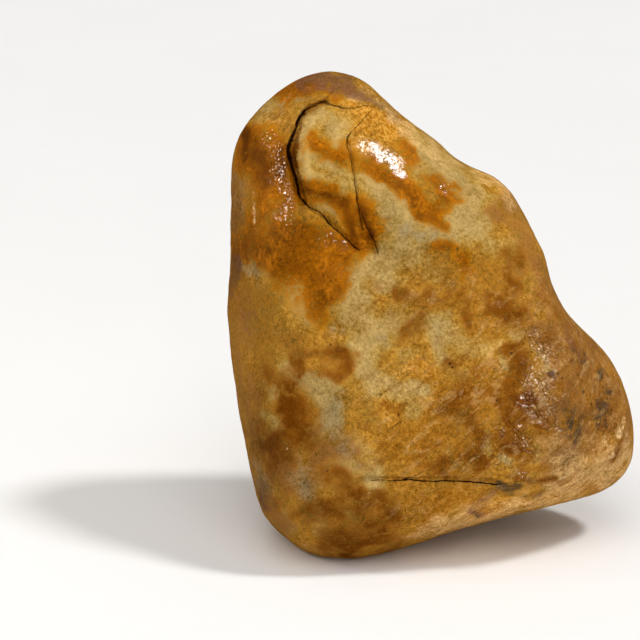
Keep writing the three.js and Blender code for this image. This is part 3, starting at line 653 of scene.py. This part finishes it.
def paint_lines(piece):
    """Keeps where each dark line runs, in half widths from its middle, and how dark the lines are."""
    points = places(piece)
    darkness = np.zeros(len(points))
    for number, (path, dark) in enumerate(LINES):
        distance, width = beside_crack(points, path)
        halves = distance / np.maximum(width / 2, 0.3)
        set_values(piece, "line%d" % number, np.clip(halves, -LINE_REACH, LINE_REACH))
        darkness = np.maximum(darkness, dark * (1 - smooth(np.abs(distance) - width / 2, 1.2, 2.6)))
    set_values(piece, "dark", darkness * towards_viewer(piece))


def pit_places(piece):
    """Where each pit lies on the surface, with its radius."""
    points = places(piece)
    pixels = project(points)
    pixels[towards_viewer(piece) < 0.5] = np.inf
    found = []
    for x, y, radius in PITS:
        nearest = np.argmin(distance_to(pixels, [(x, y)]))
        found.append((points[nearest], radius * PIXEL_AT_AIM))
    return found


def tone(red, green, blue):
    """A colour as a screen shows it, in 0 to 255, made linear."""
    linear = [((v / 255 + 0.055) / 1.055) ** 2.4 if v > 10 else v / 255 / 12.92 for v in (red, green, blue)]
    return (*linear, 1)


# The numbers of a Mix node's sockets for colours.
MIX_FIRST = 6
MIX_SECOND = 7
MIX_RESULT = 2


class Value:
    """A socket of a material that Python's arithmetic adds Math nodes to."""

    def __init__(self, paint, socket):
        self.paint = paint
        self.socket = socket

    def math(self, operation, *others):
        settings = {"operation": operation}
        return self.paint.node("ShaderNodeMath", settings, {i: v for i, v in enumerate((self, *others))})

    def __add__(self, other):
        return self.math("ADD", other)

    def __sub__(self, other):
        return self.math("SUBTRACT", other)

    def __mul__(self, other):
        return self.math("MULTIPLY", other)

    def __rsub__(self, other):
        return self.paint.node("ShaderNodeMath", {"operation": "SUBTRACT"}, {0: other, 1: self})

    __radd__ = __add__
    __rmul__ = __mul__

    def at_least(self, other):
        return self.math("MAXIMUM", other)

    def step(self, low, high):
        """0 below low, 1 above high and an S-curve between them."""
        settings = {"interpolation_type": "SMOOTHSTEP"}
        inputs = {"Value": self, "From Min": low, "From Max": high}
        return self.paint.node("ShaderNodeMapRange", settings, inputs)


class Paint:
    """A material whose nodes are added one call at a time."""

    def __init__(self, name):
        self.material = bpy.data.materials.new(name)
        self.material.use_nodes = True
        self.tree = self.material.node_tree
        self.shader = self.tree.nodes["Principled BSDF"]

    def node(self, kind, settings=None, inputs=None, output=0):
        """Adds a node, sets its settings and then its sockets, and gives the output as a Value."""
        added = self.tree.nodes.new(kind)
        for name, value in (settings or {}).items():
            setattr(added, name, value)
        for name, value in (inputs or {}).items():
            self.feed(added.inputs[name], value)
        return Value(self, added.outputs[output])

    def feed(self, socket, value):
        if isinstance(value, Value):
            self.tree.links.new(value.socket, socket)
        else:
            socket.default_value = value

    def set(self, name, value):
        self.feed(self.shader.inputs[name], value)

    def under_film(self, film, colour, roughness, normal):
        """Covers the shader with a film of water where the film's value is 1."""
        inputs = {"Base Color": colour, "Roughness": roughness, "Specular IOR Level": WATER_SHINE,
                  "Normal": normal}
        water = self.node("ShaderNodeBsdfPrincipled", {}, inputs)
        dry = Value(self, self.shader.outputs[0])
        both = self.node("ShaderNodeMixShader", {}, {0: film, 1: dry, 2: water})
        self.tree.links.new(both.socket, self.tree.nodes["Material Output"].inputs["Surface"])

    def mix(self, first, second, factor):
        """The first colour, turned into the second where the factor is 1."""
        inputs = {"Factor": factor, MIX_FIRST: first, MIX_SECOND: second}
        return self.node("ShaderNodeMix", {"data_type": "RGBA"}, inputs, output=MIX_RESULT)

    def scaled(self, colour, factor):
        """A colour made lighter or darker by a value."""
        settings = {"operation": "SCALE"}
        return self.node("ShaderNodeVectorMath", settings, {"Vector": colour, "Scale": factor})

    def noise(self, place, scale, detail=2.0, roughness=0.5, distortion=0.0):
        inputs = {"Vector": place, "Scale": scale, "Detail": detail, "Roughness": roughness,
                  "Distortion": distortion}
        return self.node("ShaderNodeTexNoise", {}, inputs)

    def painted(self, name):
        """A value that was painted on the surface."""
        settings = {"attribute_type": "GEOMETRY", "attribute_name": name}
        return self.node("ShaderNodeAttribute", settings, output="Fac")

    def place(self):
        """The point's own place on the object."""
        return self.node("ShaderNodeTexCoord", output="Object")


# Tones of the stone, as a screen shows them. Some of them also serve as painted shade, highlights and sheen.
GOLD = tone(166, 114, 32)
LIGHT_GOLD = tone(194, 142, 56)
DULL_GOLD = tone(142, 92, 18)
OCHRE = tone(152, 98, 22)
PALE = tone(184, 153, 92)
PALE_OLIVE = tone(168, 132, 54)
GREY = tone(154, 134, 94)
HONEY = tone(170, 112, 18)
AMBER = tone(150, 84, 2)
DEEP_AMBER = tone(100, 52, 2)
ORANGE = tone(178, 108, 10)
FAINT_RUST = tone(154, 102, 34)
RUST = tone(130, 76, 12)
DEEP_RUST = tone(102, 56, 6)
CHEEK = tone(152, 102, 46)
DULL_CHEEK = tone(120, 80, 36)
PLUM_AND_SHEEN = tone(118, 78, 54)
# Dark specks, and the painted shade inside the pits.
SOOT_AND_PIT_SHADE = tone(58, 40, 20)
# The colour of the painted shade inside the cracks.
CRACK_SHADE = tone(30, 12, 2)
TAN = tone(200, 158, 98)
SLATE = tone(66, 56, 42)
# The colour of painted highlights on edges and wrinkles.
EDGE_HIGHLIGHT = tone(232, 198, 140)

# The stone's skin.
DRY_SHINE = 0.02
WATER_SHINE = 0.8
GRAIN_HEIGHT = 1.0 * MM
RIPPLE_HEIGHT = 0.4 * MM
STREAK_SLANT = math.radians(-38)  # the streaks rise to the right
STREAK_STRETCH = (2.4, 1.6, 0.9)  # how far the streaks' noise is drawn out along, into and across them


class Texture:
    """The noises that the stone's colour, relief and water share, from broad patches to fine grain."""

    def __init__(self, paint):
        self.place = paint.place()
        self.broad = paint.noise(self.place, 11, 3, 0.55, 0.4)
        self.patches = paint.noise(self.place, 30, 5, 0.6, 0.5)
        self.mottle = paint.noise(self.place, 85, 5, 0.62, 0.9)
        self.fine = paint.noise(self.place, 330, 4, 0.6)
        self.grain = paint.noise(self.place, 1050, 3, 0.6)
        self.edges = self.patches * 0.3 + self.mottle * 0.55 + self.fine * 0.35 + self.grain * 0.1 - 0.65


def stain(paint, texture, name, ragged=5.5):
    """How deep a painted stain is, with its edge and its depth broken up."""
    return paint.painted(name) * (texture.edges * ragged + 1) + texture.edges * 0.5


def bare_stone(paint, texture, hidden):
    """The sandy gold of the whole stone, with wild patches on the side that no stroke reaches."""
    patches, mottle, fine, broad = texture.patches, texture.mottle, texture.fine, texture.broad
    colour = paint.mix(GOLD, LIGHT_GOLD, (mottle * 0.6 + fine * 0.4).step(0.4, 0.66) * 0.9)
    colour = paint.mix(colour, DULL_GOLD, (patches * 0.6 + mottle * 0.4).step(0.46, 0.64) * 0.8)
    colour = paint.mix(colour, PALE_OLIVE, (broad * 0.4 + patches * 0.6).step(0.48, 0.64) * 0.6)
    wild_pale = paint.noise(texture.place, 15, 5, 0.6, 0.5) * 0.75 + fine * 0.25
    colour = paint.mix(colour, PALE, wild_pale.step(0.48, 0.6) * hidden * 0.8)
    return paint.mix(colour, CHEEK, broad.step(0.47, 0.62) * hidden * 0.7)


def sandy_stains(paint, texture, colour):
    """The glowing, ochre, pale, brown, tan and grey stains, with a painted highlight in the pale and painted
    light in the tan.
    """
    glow = paint.mix(ORANGE, LIGHT_GOLD, texture.fine.step(0.38, 0.62))
    colour = paint.mix(colour, glow, stain(paint, texture, "glow").step(0.2, 0.9) * 0.8)
    ochre = paint.mix(OCHRE, DULL_GOLD, texture.mottle.step(0.44, 0.6))
    colour = paint.mix(colour, ochre, stain(paint, texture, "ochre").step(0.2, 0.8) * 0.7)
    pale_sand_and_highlight = stain(paint, texture, "pale_sand_and_highlight", 2.5)
    colour = paint.mix(colour, PALE_OLIVE, pale_sand_and_highlight.step(0.05, 0.6) * 0.75)
    colour = paint.mix(colour, PALE, pale_sand_and_highlight.step(0.2, 1.0) * 0.9)
    brown = stain(paint, texture, "brown")
    colour = paint.mix(colour, CHEEK, brown.step(0.15, 0.7) * 0.9)
    colour = paint.mix(colour, DULL_CHEEK, brown.step(0.6, 1.2) * 0.8)
    colour = paint.mix(colour, TAN, stain(paint, texture, "tan_and_bounce_light", 4).step(0.1, 1.0) * 0.9)
    return paint.mix(colour, GREY, stain(paint, texture, "grey").step(0.2, 0.9) * 0.65)


def iron_stains(paint, texture, colour, hidden):
    """The rust and amber stains, clouded with orange, the deepest amber with its painted shade, the plum
    marks with their painted sheen, the slate marks, and the painted highlights on edges and wrinkles.
    """
    rust = stain(paint, texture, "rust")
    colour = paint.mix(colour, FAINT_RUST, rust.step(0.1, 0.6) * 0.65)
    colour = paint.mix(colour, RUST, rust.step(0.3, 1.0) * 0.85)
    colour = paint.mix(colour, DEEP_RUST, rust.step(0.7, 1.4) * 0.7)
    wild_amber = paint.noise(texture.place, 9, 5, 0.6, 0.4) * 0.75 + texture.mottle * 0.25
    amber = stain(paint, texture, "amber").at_least(wild_amber.step(0.49, 0.62) * hidden)
    colour = paint.mix(colour, HONEY, amber.step(0.08, 0.4) * 0.8)
    colour = paint.mix(colour, AMBER, amber.step(0.32, 0.72) * 0.9)
    clouds = texture.mottle * 0.7 + texture.fine * 0.3
    colour = paint.mix(colour, ORANGE, clouds.step(0.5, 0.64) * amber.step(0.3, 0.7) * 0.6)
    colour = paint.mix(colour, DEEP_AMBER, (1 - clouds).step(0.5, 0.6) * amber.step(0.3, 0.7) * 0.6)
    # The darkest amber, which is also painted shade in the cleft, under the block and by the pocket.
    colour = paint.mix(colour, DEEP_AMBER, stain(paint, texture, "deep_amber_and_shade").step(0.15, 1.1))
    # Purplish marks, which along the top and the left edge are a painted sheen.
    colour = paint.mix(colour, PLUM_AND_SHEEN, stain(paint, texture, "plum_and_sheen").step(0.2, 0.8) * 0.8)
    colour = paint.mix(colour, SLATE, stain(paint, texture, "slate", 9).step(0.2, 0.9) * 0.8)
    # Painted highlights along the edges and wrinkles.
    return paint.mix(colour, EDGE_HIGHLIGHT, stain(paint, texture, "edge_highlights", 9).step(0.35, 0.9) * 0.55)


def gritty_marks(paint, texture, colour, gritty, grit):
    """Slanting streaks and flecks of rust, densest in the gritty places, and specks of soot."""
    slant = {"Vector": texture.place, "Rotation": (0, STREAK_SLANT, 0), "Scale": STREAK_STRETCH}
    slanted = paint.node("ShaderNodeMapping", {"vector_type": "TEXTURE"}, slant)
    streaks = paint.noise(slanted, 120, 4, 0.6, 0.6)
    colour = paint.mix(colour, RUST, streaks.step(0.5, 0.64) * (gritty * 0.6 + 0.08))
    colour = paint.mix(colour, TAN, (1 - streaks).step(0.52, 0.66) * gritty * 0.4)
    flecks = paint.noise(texture.place, 260, 4, 0.62, 0.3)
    colour = paint.mix(colour, RUST, flecks.step(0.55, 0.7) * 0.14)
    colour = paint.mix(colour, DEEP_RUST, grit.step(0.52, 0.66) * (gritty * 0.4 + 0.08))
    specks = (texture.grain * 0.6 + texture.fine * 0.4).step(0.56, 0.72)
    return paint.mix(colour, SOOT_AND_PIT_SHADE, specks * 0.14)


def brightness(paint, texture, gritty, grit):
    """How light each point is against its own colour: calmer on the pale patches, with light flecks, painted
    light and painted shade.
    """
    sand = texture.grain * 1.5 + texture.fine * 1.3 + texture.mottle * 0.9 - 1.85
    contrast = 1.12 - paint.painted("pale_sand_and_highlight").step(0, 0.7) * 0.35
    light_flecks = (1 - grit).step(0.53, 0.66) * (gritty * 0.4 + 0.1)
    # Painted light and painted shade, taken from the strokes.
    shade = paint.painted("painted_light") * 0.4 - paint.painted("painted_shade") * 0.35
    return sand * contrast + light_flecks + shade + 0.87


def water(paint, texture, colour, wrinkles, wrinkled, cracks):
    """The film that shines: beaded or wrinkled in some places, and a soft streak in the others."""
    beaded = paint.painted("beaded")
    broken = (beaded + wrinkled).step(0, 0.3)
    pools = paint.painted("gloss") * (texture.edges * 4 + texture.fine * 2)
    film = (pools.step(0.3, 0.75) * broken + pools.step(0.3, 1.7) * (1 - broken)) * (1 - cracks)
    beads = paint.noise(texture.place, 340, 0) - 0.5
    ripples = beads * (beaded * 7 + 0.5) + texture.mottle * 0.9 + wrinkles * 24
    bump = {"Strength": 1.0, "Distance": RIPPLE_HEIGHT, "Height": ripples}
    paint.under_film(film, colour, 0.22 - broken * 0.06, paint.node("ShaderNodeBump", {}, bump))


def jasper(piece):
    paint = Paint("wet_jasper")
    texture = Texture(paint)
    gritty = paint.painted("gritty")
    grit = paint.noise(texture.place, 480, 3, 0.65, 0.4) * 0.8 + texture.mottle * 0.2
    hidden = 1 - paint.painted("seen")
    colour = bare_stone(paint, texture, hidden)
    colour = sandy_stains(paint, texture, colour)
    colour = iron_stains(paint, texture, colour, hidden)
    colour = gritty_marks(paint, texture, colour, gritty, grit)

    pits = pit_holes(paint, texture.place).at_least(placed_pits(paint, texture.place, pit_places(piece)))
    # The pits are darkened as painted shade inside them.
    colour = paint.mix(colour, SOOT_AND_PIT_SHADE, pits * 0.7)
    # The dark lines are painted shade inside the cracks.
    darkness = (paint.painted("dark") + (texture.mottle - 0.5) * 0.8).step(0.1, 0.9)
    cracks = line_marks(paint, texture.fine) * darkness
    colour = paint.mix(colour, CRACK_SHADE, cracks)
    colour = paint.scaled(colour, brightness(paint, texture, gritty, grit))
    paint.set("Base Color", colour)

    wet = (paint.painted("wet") + texture.edges * 1.2).step(0.3, 0.8)
    paint.set("Roughness", 0.65 - wet * 0.3 + (texture.grain - 0.5) * 0.2)
    paint.set("Specular IOR Level", DRY_SHINE)
    wrinkled = paint.painted("wrinkled")
    wrinkles = (paint.noise(texture.place, 150, 1, 0.4, 1.2) - 0.5) * wrinkled
    relief = texture.grain * 0.35 + texture.fine * 0.6 + texture.mottle * 0.9
    relief = relief + wrinkles * 13 - pits * 0.8 - cracks * 0.8
    bump = {"Strength": 0.8, "Distance": GRAIN_HEIGHT, "Height": relief}
    paint.set("Normal", paint.node("ShaderNodeBump", {}, bump))
    water(paint, texture, colour, wrinkles, wrinkled, cracks)
    return paint.material


def line_marks(paint, ragged):
    """1 along the middle of each dark line and 0 beyond its half width."""
    marks = None
    for number in range(len(LINES)):
        halves = paint.painted("line%d" % number).math("ABSOLUTE")
        mark = 1 - (halves + (ragged - 0.5) * 1.6).step(0.6, 1.4)
        marks = marks.at_least(mark) if marks else mark
    return marks


def pit_holes(paint, place):
    """Scattered small holes, each about 2 mm across."""
    cells = paint.node("ShaderNodeTexVoronoi", {"feature": "F1"}, {"Vector": place, "Scale": 130})
    chosen = paint.noise(place, 60, 2).step(0.6, 0.7)
    return (1 - cells.step(0.1, 0.24)) * chosen


def placed_pits(paint, place, found):
    """1 within each placed pit and 0 outside it."""
    marks = None
    for point, radius in found:
        settings = {"operation": "DISTANCE"}
        away = paint.node("ShaderNodeVectorMath", settings, {0: place, 1: tuple(point)}, output="Value")
        mark = 1 - away.step(radius * 0.5, radius * 1.3)
        marks = marks.at_least(mark) if marks else mark
    return marks


def floor_paint():
    paint = Paint("pale_floor")
    shade = paint.noise(paint.place(), 3, 2)
    paint.set("Base Color", paint.mix(tone(244, 243, 241), tone(240, 239, 237), shade))
    paint.set("Roughness", 0.7)
    return paint.material


def make_floor():
    deselect_all()
    bpy.ops.mesh.primitive_plane_add(size=14, location=(0, 2, 0))
    floor = bpy.context.object
    floor.name = "floor"
    bpy.ops.object.transform_apply(location=True, rotation=False, scale=False)
    floor.data.materials.append(floor_paint())
    floor.visible_glossy = False
    return floor


def add_light(name, place, size, power, glints_only=False, colour=(1, 1, 1)):
    lamp = bpy.data.lights.new(name, "AREA")
    lamp.shape = "RECTANGLE"
    lamp.size, lamp.size_y = size
    lamp.energy = power
    lamp.color = colour
    holder = bpy.data.objects.new(name, lamp)
    bpy.context.scene.collection.objects.link(holder)
    holder.location = place
    holder.visible_diffuse = not glints_only
    aim = Vector((0, 0, 0.2)) - Vector(place)
    holder.rotation_euler = aim.to_track_quat("-Z", "Y").to_euler()


def add_sun(towards, width_degrees, strength, mirrored=True):
    """A far light. One that isn't mirrored lights the stone without shining back from its wet skin."""
    lamp = bpy.data.lights.new("sun", "SUN")
    lamp.angle = math.radians(width_degrees)
    lamp.energy = strength
    holder = bpy.data.objects.new("sun", lamp)
    bpy.context.scene.collection.objects.link(holder)
    holder.rotation_euler = (-Vector(towards)).to_track_quat("-Z", "Y").to_euler()
    holder.visible_glossy = mirrored


def light_studio():
    world = bpy.data.worlds.new("studio")
    bpy.context.scene.world = world
    world.use_nodes = True
    world.cycles_visibility.glossy = False
    world.node_tree.nodes["Background"].inputs["Color"].default_value = (1, 1, 1, 1)
    world.node_tree.nodes["Background"].inputs["Strength"].default_value = 0.28
    add_sun((0.52, -0.04, 0.855), 9, 1.6)
    add_sun((-0.12, -0.5, 0.86), 60, 1.36, mirrored=False)
    add_light("front", (0.12, -2.1, 0.66), (0.09, 1.15), 4.5)
    add_light("left", (-1.7, -0.05, 0.95), (0.14, 0.14), 4, colour=(1, 0.88, 0.74))
    add_light("left glints", (-1.7, -0.05, 0.95), (0.24, 0.24), 10, glints_only=True, colour=(1, 0.85, 0.7))
    add_light("front glints", (0.4, -2.0, 0.42), (0.7, 0.36), 16, glints_only=True, colour=(1, 0.88, 0.7))
    add_light("low right", (1.1, -1.5, 0.12), (0.6, 0.3), 6)
    bpy.context.scene.view_settings.view_transform = "Standard"


def place_camera():
    camera = bpy.data.objects.new("camera", bpy.data.cameras.new("camera"))
    bpy.context.scene.collection.objects.link(camera)
    camera.location = CAMERA_PLACE
    camera.rotation_euler = VIEW.to_track_quat("-Z", "Y").to_euler()
    camera.data.sensor_width = SENSOR_MM
    camera.data.lens = LENS_MM
    bpy.context.scene.camera = camera


place_camera()
light_studio()
make_floor()
stone = make_stone()
paint_stains(stone)
paint_lines(stone)
stone.data.materials.append(jasper(stone))
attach(stone, "root")
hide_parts("boulder")
